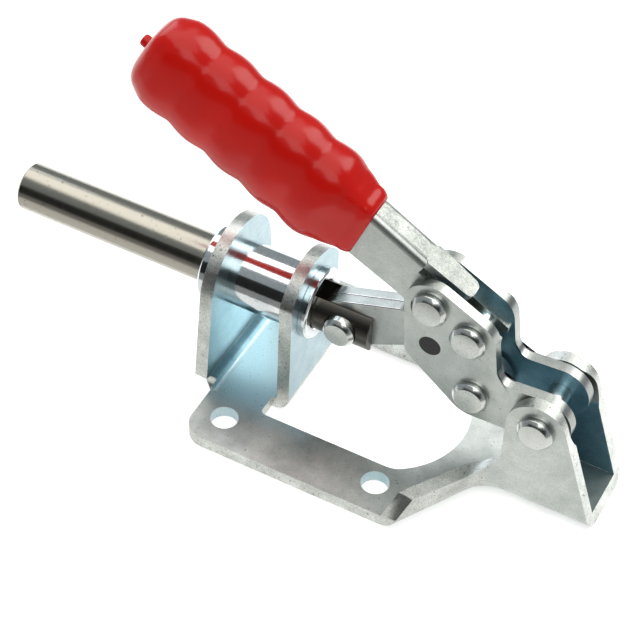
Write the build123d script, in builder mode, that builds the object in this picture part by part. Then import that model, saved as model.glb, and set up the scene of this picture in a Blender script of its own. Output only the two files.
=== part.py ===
"""Push-pull toggle clamp with a stamped flange base, locked forward.

Frame: millimetres, origin on the base's underside at the centre of its four
bolt holes. The plunger points along -X, the handle pivot is towards +X and
+Z is up. The side towards -Y is called near and the side towards +Y far.
"""

import os
from math import atan2, cos, pi, radians, sin, sqrt

from build123d import *

os.makedirs("parts", exist_ok=True)

# ---------------------------------------------------------------- clearances
running_fit = 0.05  # radial, a pin in the hole that turns on it
sliding_fit = 0.05  # radial, the plunger in its bush
side_clearance = 0.10  # between flat faces that slide past each other
open_eye_clearance = 0.30  # round the pin in the link's open front eye

# ------------------------------------------------------------------- plunger
plunger_diameter = 11.1
plunger_height = 26.0  # axis above the mounting face
plunger_front = -82.0
plunger_chamfer = 0.6
clevis_tail = 6.5  # plunger behind its pin
clevis_slot_clearance = 0.3  # in front of the turning link
thread_minor_diameter = 6.8  # M8
thread_depth = 22.0
pin_flat_depth = 0.95  # spot face under each pin head

# ------------------------------------------------- linkage, closed over centre
handle_pivot = (48.4, plunger_height - 1.6)  # X, Z
crank_length = 16.2  # handle pivot to link pivot
crank_angle = 182.8  # degrees, from +X, in the closed position
link_length = 31.85  # link pivot to plunger pin
handle_swing = 155.0  # degrees that the handle lifts

# -------------------------------------------------------------------- pivots
rivet_shank = 5.0
rivet_head = 8.2
rivet_head_height = 2.0
rivet_head_chamfer = 0.9
peened_head = 7.4
peened_head_height = 1.5
pin_head = 7.5
pin_head_height = 2.4

# --------------------------------------------------------------------- links
link_sheet = 2.7
link_eye_radius = 6.1
elbow_offset = (13.55, 5.8)  # from the plunger pin
elbow_radius = 5.0
neck_offset = (-14.7, 4.7)  # from the link pivot
neck_radius = 2.6

# --------------------------------------------------------------- side plates
plate_sheet = 2.5
front_fastener = (21.0, 18.2)  # X, and height above the plunger axis
rear_fastener = (30.2, 13.4)
plate_rivet_margin = 6.0  # plate radius round the two fixed rivets
plate_link_margin = 6.1
plate_pivot_margin = 6.5
plate_chin = (19.0, 4.5)  # height above the plunger axis
plate_chin_radius = 3.0
plate_throat_radius = 4.0
bumper_place = (21.7, 7.3)  # height above the plunger axis
bumper_diameter = 5.0

# ---------------------------------------------------------------- handle arm
arm_width = 7.0
arm_sheet = 2.0
arm_bend_radius = 2.0
arm_depth = 13.3
arm_top = (36.0, 17.0)  # on the line of the web's top, height above the plunger axis
arm_tail_margin = 5.4  # flange radius round the rear rivet
tongue_start = 18.3  # X where the web leaves the flanges
tongue_length = 11.6
tongue_root_half_width = 2.9
tongue_end_half_width = 2.3
tongue_corner = 1.6
tongue_gap = 1.5  # between the tongue and the flanges' top edges

# ---------------------------------------------------------------------- grip
grip_place = (2.9, 27.42)  # centre line at the open end, height above the plunger axis
grip_slope = 27.9
grip_length = 58.3
mouth_wall = 0.7  # vinyl round the arm at the open end
mouth_rise = 0.95  # of the arm and the open end above the centre line
mouth_tilt = 6.5  # degrees, the open end from square
grip_swell_deep = 3.65  # how much further the full section stands out
grip_swell_wide = 3.3
mouth_corner_share = 0.2  # corner radius as a share of the width
grip_corner_share = 0.41
grip_swell = 12.0  # length over which the mouth swells to the full section
grip_tip = 7.2  # length and radius of the rounded end
bump_pitch = 9.6
bump_height = 0.55  # crest above trough
arm_in_grip = 48.0
grip_nub_diameter = 3.0
grip_nub_height = 1.6

# -------------------------------------------------------------- stamped frame
sheet = 3.0
base_half_width = 29.0
base_front = -25.4
base_front_corner = 5.0
hole_spacing_x = 37.2
hole_spacing_y = 43.0
hole_diameter = 6.3
opening_half_width = 16.3
opening_front = -12.5
opening_arc_center = 11.1
opening_arc_radius = 18.7
opening_corner = 6.0
flange_front = 27.1  # X where the slanting flange leaves the base's side
flange_end_setback = 3.7  # how far the cut end leans in at its top
flange_front_height = 8.2
flange_rear_height = 6.0
flange_rear = (38.9, 9.1)  # where the slanting flange meets the channel, X and Y
flange_blend = 8.0
channel_rear = 63.7
channel_bend_radius = 3.7
ear_radius = 6.8
ear_blend = 6.0

# ------------------------------------------------------------ lugs and bush
front_lug_face = -29.5
front_lug_radius = 13.3
front_lug_foot = 15.5
front_lug_inner_bend = 3.0
rear_lug_face = -11.3
rear_lug_radius = 12.3
rear_lug_half_width = 10.9
rear_lug_corner = 2.0
rear_lug_inner_bend = 1.0
front_relief_radius = 2.6  # nick at each end of the front lug's bend
rear_relief_radius = 1.2
bush_diameter = 15.0
front_collar_diameter = 17.0
front_collar_length = 3.7
rear_collar_diameter = 16.6
rear_collar_length = 2.0
bush_mouth_chamfer = 0.5

# ----------------------------------------------------------- derived geometry
plunger_radius = plunger_diameter / 2
shank_radius = rivet_shank / 2
plate_gap = arm_width / 2
plate_face = plate_gap + plate_sheet
ear_gap = plate_face + side_clearance
ear_face = ear_gap + sheet
slot_half = link_sheet + side_clearance
seat_radius = shank_radius + open_eye_clearance


def on_crank(swing):
    """Link pivot when the handle has lifted by swing degrees."""
    angle = radians(crank_angle - swing)
    return (
        handle_pivot[0] + crank_length * cos(angle),
        handle_pivot[1] + crank_length * sin(angle),
    )


def pin_on_axis(pivot):
    """Plunger pin that a closed linkage would have with this link pivot."""
    rise = pivot[1] - plunger_height
    return (pivot[0] - sqrt(link_length**2 - rise**2), plunger_height)


def slope(start, end):
    return atan2(end[1] - start[1], end[0] - start[0])


def above_plunger(place):
    """Point of the middle plane whose height is given above the plunger axis."""
    return (place[0], plunger_height + place[1])


link_pivot = on_crank(0)
plunger_pin = pin_on_axis(link_pivot)
stroke = pin_on_axis(on_crank(handle_swing))[0] - plunger_pin[0]
link_slope = slope(plunger_pin, link_pivot)
open_pivot = on_crank(handle_swing)
link_turn = slope(pin_on_axis(open_pivot), open_pivot) - link_slope


def pin_from_eye(share):
    """Steps in X and Z from the link's front eye to the pin, part of the way open.

    Slide, link and handle keep constant ratios, so part of the way through the
    swing the pin leaves its seat; it is back in it at both ends.
    """
    pivot = on_crank(handle_swing * share)
    angle = link_slope + link_turn * share
    eye_x = pivot[0] - link_length * cos(angle)
    eye_z = pivot[1] - link_length * sin(angle)
    return plunger_pin[0] + stroke * share - eye_x, plunger_height - eye_z


def pin_in_link(share):
    """Pin's place in the link's own frame, relative to its closed seat."""
    gap_x, gap_z = pin_from_eye(share)
    back = -link_turn * share
    return (
        gap_x * cos(back) - gap_z * sin(back),
        gap_x * sin(back) + gap_z * cos(back),
    )


path_steps = 24
link_reach = link_eye_radius + max(
    pin_from_eye(step / path_steps)[0] for step in range(path_steps + 1)
)


def offset_from(point, step):
    return (point[0] + step[0], point[1] + step[1])


def hull_of(*discs):
    """Outline stretched round discs, each given as (centre, radius)."""
    with BuildSketch(mode=Mode.PRIVATE) as outline:
        for center, radius in discs:
            with Locations(center):
                Circle(radius)
        make_hull()
    return outline.sketch_local


def headed_pin(center, shank_diameter, near_seat, far_seat, head, head_height):
    """Rivet along Y with a chamfered head on the near side, peened on the far."""
    near = Plane.XZ.offset(near_seat)
    far = Plane.XZ.offset(-far_seat)
    with BuildPart() as pin:
        with BuildSketch(near):
            with Locations(center):
                Circle(shank_diameter / 2)
        extrude(amount=-(near_seat + far_seat))
        with BuildSketch(near):
            with Locations(center):
                Circle(head / 2)
        extrude(amount=head_height)
        rim = pin.faces().sort_by(Axis.Y)[0].edges()
        chamfer(rim, rivet_head_chamfer)
        with BuildSketch(far):
            with Locations(center):
                Circle(peened_head / 2)
        extrude(amount=-peened_head_height)
        rim = pin.faces().sort_by(Axis.Y)[-1].edges()
        fillet(rim, peened_head_height * 0.6)
    return pin.part


# ------------------------------------------------------------- stamped frame
bend_end = front_lug_face + sheet + front_lug_inner_bend
flange_run = slope((flange_front, base_half_width), flange_rear)
side_rear = flange_front + channel_bend_radius / sin(flange_run)
tray_front = side_rear - sheet / 3
flange_reach = channel_bend_radius + sheet
ear_front = handle_pivot[0] - ear_radius
ear_top = handle_pivot[1] + ear_radius


def tray_outline():
    """Plan of the slanting flanges and the rear channel."""
    outer_x = flange_front - flange_reach * cos(flange_run)
    outer_y = base_half_width - flange_reach * sin(flange_run)
    with BuildSketch(mode=Mode.PRIVATE) as plan:
        with BuildLine():
            Polyline(
                (tray_front - 2 * sheet, 0),
                (tray_front - 2 * sheet, outer_y),
                (outer_x, outer_y),
                flange_rear,
                (channel_rear + 2 * sheet, flange_rear[1]),
                (channel_rear + 2 * sheet, 0),
            )
            mirror(about=Plane.XZ)
        make_face()
        waist = plan.vertices().filter_by(lambda v: abs(v.X - flange_rear[0]) < 0.01)
        fillet(waist, flange_blend)
    return plan.sketch_local


with BuildPart() as tray:
    with BuildSketch():
        add(tray_outline())
    extrude(amount=ear_top)
    floor_edges = tray.faces().sort_by(Axis.Z)[0].edges()
    bent_edges = floor_edges.filter_by(
        lambda e: abs(e.center().Y) > 1 and e.center().X > tray_front
    ).filter_by(lambda e: e.bounding_box().size.X > 1)
    fillet(bent_edges, channel_bend_radius)
    # the room between the walls
    with BuildSketch(Plane.XY.offset(sheet)):
        add(tray_outline())
        offset(amount=-sheet, kind=Kind.INTERSECTION, mode=Mode.REPLACE)
    extrude(amount=ear_top, mode=Mode.SUBTRACT)
    # ears and low flanges, seen from the side
    with BuildSketch(Plane.XZ) as side:
        with BuildLine():
            Line((ear_front, 0), (channel_rear, 0))
        with Locations(handle_pivot):
            Circle(ear_radius)
        make_hull()
        Polygon(
            (tray_front, 0),
            (tray_front, flange_front_height),
            (flange_front, flange_front_height),
            (ear_front + sheet, flange_rear_height),
            (ear_front + sheet, 0),
            align=None,
        )
        step = side.vertices().sort_by_distance((ear_front, flange_rear_height, 0))
        fillet(step[0], ear_blend)
    extrude(amount=base_half_width, both=True, mode=Mode.INTERSECT)
    with BuildSketch():
        with Locations((channel_rear, 0)):
            Rectangle(
                channel_rear - tray_front,
                2 * base_half_width,
                align=(Align.MAX, Align.CENTER),
            )
    extrude(amount=ear_top, mode=Mode.INTERSECT)
    # the flanges' front ends lean in
    with BuildSketch(Plane.YZ):
        Polygon(
            (base_half_width, sheet),
            (base_half_width - flange_end_setback, flange_front_height),
            (base_half_width - flange_end_setback, ear_top),
            (base_half_width + sheet, ear_top),
            (base_half_width + sheet, sheet),
            align=None,
        )
        mirror(about=Plane.YZ)
    extrude(amount=channel_rear, mode=Mode.SUBTRACT)

with BuildPart() as front_lug:
    # bent up from the base's front edge, cut to its rounded outline
    lug_top = plunger_height + front_lug_radius
    with BuildSketch(Plane.XZ) as bend:
        with BuildLine():
            Polyline(
                (bend_end + sheet, 0),
                (front_lug_face, 0),
                (front_lug_face, lug_top),
                (front_lug_face + sheet, lug_top),
                (front_lug_face + sheet, sheet),
                (bend_end + sheet, sheet),
                close=True,
            )
        make_face()
        corners = bend.vertices()
        heel = corners.sort_by_distance((front_lug_face, 0, 0))[0]
        fillet(heel, front_lug_inner_bend + sheet)
        crook = bend.vertices().sort_by_distance((front_lug_face + sheet, sheet, 0))[0]
        fillet(crook, front_lug_inner_bend)
    extrude(amount=front_lug_foot, both=True)
    with BuildSketch(Plane.YZ):
        with BuildLine():
            Line((-front_lug_foot, 0), (front_lug_foot, 0))
            Line((-front_lug_foot, 2 * sheet), (front_lug_foot, 2 * sheet))
        with Locations((0, plunger_height)):
            Circle(front_lug_radius)
        make_hull()
    extrude(amount=base_half_width * 2, both=True, mode=Mode.INTERSECT)

with BuildPart() as rear_lug:
    # bent up out of the opening
    lug_top = plunger_height + rear_lug_radius
    lug_back = rear_lug_face + sheet
    lug_root = opening_front - sheet
    with BuildSketch(Plane.XZ) as bend:
        with BuildLine():
            Polyline(
                (lug_root, 0),
                (lug_back, 0),
                (lug_back, lug_top),
                (rear_lug_face, lug_top),
                (rear_lug_face, sheet),
                (lug_root, sheet),
                close=True,
            )
        make_face()
        heel = bend.vertices().sort_by_distance((lug_back, 0, 0))[0]
        fillet(heel, rear_lug_inner_bend + sheet)
        crook = bend.vertices().sort_by_distance((rear_lug_face, sheet, 0))[0]
        fillet(crook, rear_lug_inner_bend)
    extrude(amount=rear_lug_half_width, both=True)
    with BuildSketch(Plane.YZ) as crown:
        with Locations((0, plunger_height)):
            Circle(rear_lug_radius)
        Rectangle(2 * rear_lug_radius, plunger_height, align=(Align.CENTER, Align.MIN))
        Rectangle(2 * rear_lug_half_width, 4 * plunger_height, mode=Mode.INTERSECT)
        shoulders = crown.vertices().group_by(Axis.Y)[-1]
        fillet(shoulders, rear_lug_corner)
    extrude(amount=base_half_width, both=True, mode=Mode.INTERSECT)

with BuildPart() as frame:
    # flat flange that is bolted down
    with BuildSketch() as flat:
        with BuildLine():
            Polyline(
                (bend_end, 0),
                (bend_end, front_lug_foot),
                (base_front, front_lug_foot),
                (base_front, base_half_width),
                (side_rear, base_half_width),
                (side_rear, 0),
            )
            mirror(about=Plane.XZ)
        make_face()
        sides = flat.vertices().filter_by(lambda v: abs(abs(v.Y) - base_half_width) < 0.01)
        fillet(sides.group_by(Axis.X)[0], base_front_corner)
    extrude(amount=sheet)
    add(tray.part)
    # opening with a round rear end, then the lug folded out of it
    with BuildSketch() as opening:
        with Locations((opening_arc_center, 0)):
            Circle(opening_arc_radius)
        with Locations((opening_front, 0)):
            Rectangle(
                opening_arc_center - opening_front + opening_arc_radius,
                2 * opening_half_width,
                align=(Align.MIN, Align.CENTER),
                mode=Mode.INTERSECT,
            )
        with Locations((opening_front, 0)):
            Rectangle(
                opening_arc_center - opening_front,
                2 * opening_half_width,
                align=(Align.MIN, Align.CENTER),
            )
        fillet(opening.vertices().group_by(Axis.X)[0], rear_relief_radius)
        fillet(opening.vertices().group_by(Axis.X)[-1], opening_corner)
    extrude(amount=sheet, mode=Mode.SUBTRACT)
    add(front_lug.part)
    add(rear_lug.part)
    with BuildSketch(Plane.YZ.offset(base_front)):
        with Locations((front_lug_foot, sheet), (-front_lug_foot, sheet)):
            Circle(front_relief_radius)
    extrude(amount=front_lug_face - base_front, mode=Mode.SUBTRACT)
    with GridLocations(hole_spacing_x, hole_spacing_y, 2, 2):
        Hole(hole_diameter / 2)
    # seats for the bush and the rear rivet
    with BuildSketch(Plane.YZ):
        with Locations((0, plunger_height)):
            Circle(bush_diameter / 2)
    extrude(amount=base_half_width * 2, both=True, mode=Mode.SUBTRACT)
    with BuildSketch(Plane.XZ):
        with Locations(handle_pivot):
            Circle(shank_radius)
    extrude(amount=base_half_width, both=True, mode=Mode.SUBTRACT)

frame.part.label = "frame"
export_step(frame.part, "parts/frame.step")

# ---------------------------------------------------------------- guide bush
front_seat = front_lug_face
rear_seat = rear_lug_face + sheet
front_end = front_seat - front_collar_length
rear_end = rear_seat + rear_collar_length
inner = plunger_height + plunger_radius + sliding_fit
tube = plunger_height + bush_diameter / 2
front_rim = plunger_height + front_collar_diameter / 2
rear_rim = plunger_height + rear_collar_diameter / 2

with BuildPart() as guide_bush:
    with BuildSketch(Plane.XZ):
        with BuildLine():
            Polyline(
                (front_end, inner),
                (front_end, front_rim),
                (front_seat, front_rim),
                (front_seat, tube),
                (rear_seat, tube),
                (rear_seat, rear_rim),
                (rear_end, rear_rim),
                (rear_end, inner),
                close=True,
            )
        make_face()
    revolve(axis=Axis((0, 0, plunger_height), (1, 0, 0)))
    ends = guide_bush.faces().filter_by(Axis.X)
    chamfer(ends.sort_by(Axis.X)[0].edges(), bush_mouth_chamfer)
    ends = guide_bush.faces().filter_by(Axis.X)
    chamfer(ends.sort_by(Axis.X)[-1].edges(), bush_mouth_chamfer)

guide_bush.part.label = "guide_bush"
export_step(guide_bush.part, "parts/guide_bush.step")

# --------------------------------------------------------------- rear rivet
rear_pivot = headed_pin(
    handle_pivot, rivet_shank, ear_face, ear_face, rivet_head, rivet_head_height
)
rear_pivot.label = "pivot_rivet"
export_step(rear_pivot, "parts/pivot_rivet.step")

# ------------------------------------------------------------------- plunger
plunger_rear = plunger_pin[0] + clevis_tail
pin_seat = plunger_radius - pin_flat_depth
plunger_end = Plane.YZ.offset(plunger_front)

with BuildPart() as plunger:
    with BuildSketch(plunger_end):
        with Locations((0, plunger_height)):
            Circle(plunger_radius)
    extrude(amount=plunger_rear - plunger_front)
    chamfer(plunger.edges().sort_by(Axis.X)[0], plunger_chamfer)
    # tapped hole for the pressure screw
    with BuildSketch(plunger_end):
        with Locations((0, plunger_height)):
            Circle(thread_minor_diameter / 2)
    extrude(amount=thread_depth, mode=Mode.SUBTRACT)
    # clevis slot for the links, open above, below and behind
    slot_front = plunger_pin[0] - link_reach - clevis_slot_clearance
    with BuildSketch(Plane.XY):
        with Locations((slot_front, 0)):
            Rectangle(
                plunger_rear - slot_front + plunger_radius,
                2 * slot_half,
                align=(Align.MIN, Align.CENTER),
            )
    extrude(amount=2 * plunger_height, mode=Mode.SUBTRACT)
    # spot faces and hole for the pin
    for side in (1, -1):
        with BuildSketch(Plane.XZ.offset(side * pin_seat)):
            with Locations(plunger_pin):
                Circle(pin_head / 2 + side_clearance)
        extrude(amount=side * plunger_radius, mode=Mode.SUBTRACT)
    with BuildSketch(Plane.XZ):
        with Locations(plunger_pin):
            Circle(shank_radius)
    extrude(amount=plunger_diameter, both=True, mode=Mode.SUBTRACT)

plunger.part.label = "plunger"
export_step(plunger.part, "parts/plunger.step")

clevis_pin = headed_pin(
    plunger_pin, rivet_shank, pin_seat, pin_seat, pin_head, pin_head_height
)
clevis_pin.label = "plunger_pin"
export_step(clevis_pin, "parts/plunger_pin.step")

# --------------------------------------------------------------------- links
elbow = offset_from(plunger_pin, elbow_offset)
neck = offset_from(link_pivot, neck_offset)


def open_eye():
    """Room that the pin needs as it leaves the front eye and comes back."""
    way = [
        (offset_from(plunger_pin, pin_in_link(step / path_steps)), seat_radius)
        for step in range(path_steps + 1)
    ]
    return hull_of(*way)


def link_plate(label, near, far):
    """One stamped link between the planes Y = near and Y = far."""
    with BuildPart() as link:
        with BuildSketch(Plane.XZ.offset(-far)):
            add(hull_of((plunger_pin, link_eye_radius), (elbow, elbow_radius)))
            add(hull_of((elbow, elbow_radius), (neck, neck_radius)))
            add(hull_of((neck, neck_radius), (link_pivot, link_eye_radius)))
            add(open_eye(), mode=Mode.SUBTRACT)
            with Locations(link_pivot):
                Circle(shank_radius + running_fit, mode=Mode.SUBTRACT)
        extrude(amount=far - near)
    link.part.label = label
    export_step(link.part, f"parts/{label}.step")


link_plate("link_near", -link_sheet, 0)
link_plate("link_far", 0, link_sheet)

# --------------------------------------------------------------- side plates
front_center = above_plunger(front_fastener)
rear_center = above_plunger(rear_fastener)
bumper_center = above_plunger(bumper_place)


def side_plate(label, near, far):
    """One of the two handle plates, between the planes Y = near and Y = far."""
    with BuildPart() as plate:
        with BuildSketch(Plane.XZ.offset(-far)) as blank:
            add(
                hull_of(
                    (front_center, plate_rivet_margin),
                    (rear_center, plate_rivet_margin),
                    (above_plunger(plate_chin), plate_chin_radius),
                    (link_pivot, plate_link_margin),
                )
            )
            add(
                hull_of(
                    (link_pivot, plate_link_margin),
                    (handle_pivot, plate_pivot_margin),
                )
            )
            throat = blank.vertices().filter_by(
                lambda v: link_pivot[0] < v.X < handle_pivot[0] and v.Y > link_pivot[1]
            )
            fillet(throat.sort_by(Axis.X)[:1], plate_throat_radius)
            with Locations(front_center, rear_center, link_pivot):
                Circle(shank_radius, mode=Mode.SUBTRACT)
            with Locations(handle_pivot):
                Circle(shank_radius + running_fit, mode=Mode.SUBTRACT)
            with Locations(bumper_center):
                Circle(bumper_diameter / 2, mode=Mode.SUBTRACT)
        extrude(amount=far - near)
    plate.part.label = label
    export_step(plate.part, f"parts/{label}.step")


side_plate("side_plate_near", -plate_face, -plate_gap)
side_plate("side_plate_far", plate_gap, plate_face)


def plate_rivet(label, center):
    """Rivet through both handle plates and what lies between them."""
    rivet = headed_pin(
        center, rivet_shank, plate_face, plate_face, rivet_head, rivet_head_height
    )
    rivet.label = label
    export_step(rivet, f"parts/{label}.step")


plate_rivet("front_rivet", front_center)
plate_rivet("rear_rivet", rear_center)
plate_rivet("link_rivet", link_pivot)

# -------------------------------------------------------------- rubber stop
with BuildPart() as bumper:
    with BuildSketch(Plane.XZ):
        with Locations(bumper_center):
            Circle(bumper_diameter / 2)
    extrude(amount=plate_face, both=True)

bumper.part.label = "bumper"
export_step(bumper.part, "parts/bumper.step")

# ---------------------------------------------------------------- handle arm
slope_in_grip = radians(grip_slope)
arm_tail = above_plunger(arm_top)
grip_start = above_plunger(grip_place)
grip_mouth_depth = arm_depth + 2 * mouth_wall
grip_mouth_width = arm_width + 2 * mouth_wall
grip_depth = grip_mouth_depth + 2 * grip_swell_deep
grip_width = grip_mouth_width + 2 * grip_swell_wide
grip_run = (-cos(slope_in_grip), sin(slope_in_grip))
grip_up = (sin(slope_in_grip), cos(slope_in_grip))


def along(start, run, distance):
    return (start[0] + run[0] * distance, start[1] + run[1] * distance)


def at_grip(distance, height):
    """Point in the handle's middle plane, measured along and across the grip."""
    return along(along(grip_start, grip_run, distance), grip_up, height)


web_in_mouth = at_grip(0, mouth_rise + arm_depth / 2)
foot_in_mouth = at_grip(0, mouth_rise - arm_depth / 2)
slope_of_arm = -slope(web_in_mouth, arm_tail)
arm_run = (-cos(slope_of_arm), sin(slope_of_arm))
arm_up = (sin(slope_of_arm), cos(slope_of_arm))
arm_tip_depth = arm_depth * 0.84
web_at_tip = at_grip(arm_in_grip, arm_tip_depth / 2)
foot_at_tip = at_grip(arm_in_grip, -arm_tip_depth / 2)
arm_heel = (rear_center[0] + arm_tail_margin, rear_center[1] - arm_tail_margin * 0.3)
arm_sole = (rear_center[0] - arm_tail_margin * 0.5, rear_center[1] - arm_tail_margin * 0.9)
tongue_root = along(arm_tail, arm_run, (arm_tail[0] - tongue_start) / cos(slope_of_arm))
tongue_plane = Plane(
    origin=(tongue_root[0], 0, tongue_root[1]),
    x_dir=(-arm_run[0], 0, -arm_run[1]),
    z_dir=(arm_up[0], 0, arm_up[1]),
)

with BuildPart() as handle_arm:
    # outside of the channel, from its tail between the plates to its tip
    with BuildSketch(Plane.XZ):
        with BuildLine():
            Polyline(
                arm_tail,
                web_in_mouth,
                web_at_tip,
                foot_at_tip,
                foot_in_mouth,
                arm_sole,
                arm_heel,
                close=True,
            )
        make_face()
    extrude(amount=plate_gap, both=True)
    web = handle_arm.faces().filter_by(lambda f: f.normal_at().Z > 0.7)
    long_edges = web.edges().filter_by(lambda e: abs(abs(e.center().Y) - plate_gap) < 0.01)
    fillet(long_edges, arm_bend_radius)
    # inside of the channel, open below and at both ends
    with BuildSketch(Plane.XZ):
        with BuildLine():
            Polyline(
                along(along(arm_tail, arm_run, -arm_depth), grip_up, -arm_sheet),
                along(web_in_mouth, grip_up, -arm_sheet),
                along(along(web_at_tip, grip_up, -arm_sheet), grip_run, arm_depth),
                along(along(foot_at_tip, grip_up, -arm_depth), grip_run, arm_depth),
                along(along(arm_sole, grip_up, -arm_depth), arm_run, -arm_depth),
                close=True,
            )
        make_face()
    extrude(amount=plate_gap - arm_sheet, both=True, mode=Mode.SUBTRACT)
    # behind the bend the web runs on as a free tongue above the flanges
    with BuildSketch(tongue_plane):
        Rectangle(arm_tail[0], 2 * plate_gap, align=(Align.MIN, Align.CENTER))
    extrude(amount=-arm_sheet - tongue_gap, mode=Mode.SUBTRACT)
    with BuildSketch(tongue_plane) as tongue:
        with BuildLine():
            Polyline(
                (-arm_sheet, 0),
                (-arm_sheet, tongue_root_half_width - arm_sheet),
                (0, tongue_root_half_width),
                (tongue_length, tongue_end_half_width),
                (tongue_length, 0),
            )
            mirror(about=Plane.XZ)
        make_face()
        fillet(tongue.vertices().group_by(Axis.X)[-1], tongue_corner)
    extrude(amount=-arm_sheet)
    with BuildSketch(Plane.XZ):
        with Locations(front_center, rear_center):
            Circle(shank_radius)
    extrude(amount=plate_face, both=True, mode=Mode.SUBTRACT)

handle_arm.part.label = "handle_arm"
export_step(handle_arm.part, "parts/handle_arm.step")

# ---------------------------------------------------------------------- grip


def swell_at(distance):
    """How far the outline has grown from the mouth's size to the full size."""
    share = min(1, distance / grip_swell)
    return share * share * (3 - 2 * share)


def grip_plane(distance):
    """Plane across the grip, this far from its open end."""
    center = at_grip(distance, 0)
    lean = slope_in_grip - radians(mouth_tilt) * (1 - swell_at(distance))
    return Plane(
        origin=(center[0], 0, center[1]),
        x_dir=(0, 1, 0),
        z_dir=(-cos(lean), 0, sin(lean)),
    )


def grip_section(distance):
    """Rise, depth, width and corner radius of the grip's outline at this distance."""
    swell = swell_at(distance)
    depth = grip_mouth_depth + (grip_depth - grip_mouth_depth) * swell
    width = grip_mouth_width + (grip_width - grip_mouth_width) * swell
    wave = bump_height / 2 * swell * cos(2 * pi * (distance - grip_swell) / bump_pitch)
    into_tip = max(0, distance - (grip_length - grip_tip)) / grip_tip
    inset = grip_tip * (1 - sqrt(1 - into_tip**2))
    depth += 2 * (wave - inset)
    width += 2 * (wave - inset)
    corner_share = mouth_corner_share + (grip_corner_share - mouth_corner_share) * swell
    return mouth_rise * (1 - swell), depth, width, width * corner_share


def grip_stations():
    """Distances at which the grip's outline is drawn."""
    quarter = bump_pitch / 4
    places = [0, grip_swell / 4, grip_swell / 2, grip_swell * 3 / 4]
    place = grip_swell
    while place < grip_length - grip_tip:
        places.append(place)
        place += quarter
    for share in (0, 0.3, 0.55, 0.75, 0.9, 0.98):
        places.append(grip_length - grip_tip * (1 - share))
    return places


with BuildPart() as grip:
    for place in grip_stations():
        rise, depth, width, corner = grip_section(place)
        with BuildSketch(grip_plane(place)):
            with Locations((0, rise)):
                RectangleRounded(width, depth, corner)
    loft()
    # small nub left at the closed end by the mould
    with BuildSketch(grip_plane(grip_length - grip_tip / 2)):
        Circle(grip_nub_diameter / 2)
    extrude(amount=grip_tip / 2 + grip_nub_height)
    # the pocket that the handle arm fills
    with BuildSketch(Plane.XZ):
        with BuildLine():
            Polyline(
                along(web_in_mouth, arm_run, -arm_depth),
                web_in_mouth,
                web_at_tip,
                foot_at_tip,
                foot_in_mouth,
                along(foot_in_mouth, arm_run, -arm_depth),
                close=True,
            )
        make_face()
    extrude(amount=plate_gap, both=True, mode=Mode.SUBTRACT)

grip.part.label = "grip"
export_step(grip.part, "parts/grip.step")
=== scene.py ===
# %% [markdown]
# # A push-pull toggle clamp
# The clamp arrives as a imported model, one object for each physical piece, with every
# piece already in its place. This lesson dresses it: the round parts are turned again
# with smooth surfaces, the dipped grip is moulded as one soft form, the stamped sheet
# gets its rolled and torn edges, and each metal gets its own finish.

import math

import bmesh
import bpy
from mathutils import Matrix, Vector


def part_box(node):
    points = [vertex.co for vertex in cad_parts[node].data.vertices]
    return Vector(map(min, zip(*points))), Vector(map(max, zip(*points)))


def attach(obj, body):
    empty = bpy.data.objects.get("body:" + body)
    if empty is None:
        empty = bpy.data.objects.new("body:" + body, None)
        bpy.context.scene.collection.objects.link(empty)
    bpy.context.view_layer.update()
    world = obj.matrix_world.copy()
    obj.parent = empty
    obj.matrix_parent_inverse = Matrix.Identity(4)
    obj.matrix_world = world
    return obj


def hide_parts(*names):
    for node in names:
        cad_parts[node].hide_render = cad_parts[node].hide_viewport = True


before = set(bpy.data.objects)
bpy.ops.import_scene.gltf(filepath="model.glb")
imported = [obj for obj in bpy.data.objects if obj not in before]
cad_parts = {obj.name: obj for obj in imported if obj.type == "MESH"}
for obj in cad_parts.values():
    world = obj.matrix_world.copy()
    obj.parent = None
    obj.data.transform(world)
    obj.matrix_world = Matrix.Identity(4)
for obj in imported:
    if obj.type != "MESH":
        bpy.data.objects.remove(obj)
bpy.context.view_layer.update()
MM = 0.001  # metres in a millimetre
scene = bpy.context.scene
print("pieces in the model:", len(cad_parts))

# %% [markdown]
# ## Camera
# A long lens looks down at about 46 degrees from the near right side. The camera's own
# three directions go straight into its matrix. A tracking constraint would aim it too,
# but it keeps the camera level, and this one has a slight roll.

# %% Camera
AZIMUTH, ELEVATION, ROLL = 25.86, 46.39, 2.86  # degrees
CAMERA_DISTANCE = 469.5  # mm
AIM_RIGHT, AIM_UP = 5.35, -16.75  # mm, the aim point in the picture
FOCAL_PIXELS, PICTURE_PIXELS = 2088.8, 640
SENSOR, CLIP_START = 36.0, 10  # mm


def direction(azimuth, elevation):
    """Unit vector from the clamp towards this azimuth and elevation, in degrees."""
    turn, rise = math.radians(azimuth), math.radians(elevation)
    flat = math.cos(rise)
    return Vector((flat * math.sin(turn), -flat * math.cos(turn), math.sin(rise)))


back = direction(AZIMUTH, ELEVATION)
level_right = Vector((0, 0, 1)).cross(back).normalized()
level_up = back.cross(level_right)
roll = math.radians(ROLL)
right = level_right * math.cos(roll) + level_up * math.sin(roll)
up = level_up * math.cos(roll) - level_right * math.sin(roll)
place = (back * CAMERA_DISTANCE - right * AIM_RIGHT - up * AIM_UP) * MM
camera_data = bpy.data.cameras.new("camera")
camera_data.sensor_width = SENSOR
camera_data.lens = SENSOR * FOCAL_PIXELS / PICTURE_PIXELS
camera_data.clip_start = CLIP_START * MM
camera = bpy.data.objects.new("camera", camera_data)
turned = Matrix((right, up, back)).transposed().to_4x4()
camera.matrix_world = Matrix.Translation(place) @ turned
scene.collection.objects.link(camera)
scene.camera = camera
print("camera at, mm:", [round(v / MM, 1) for v in place])
print("lens, mm:", round(camera_data.lens, 1))

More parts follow.
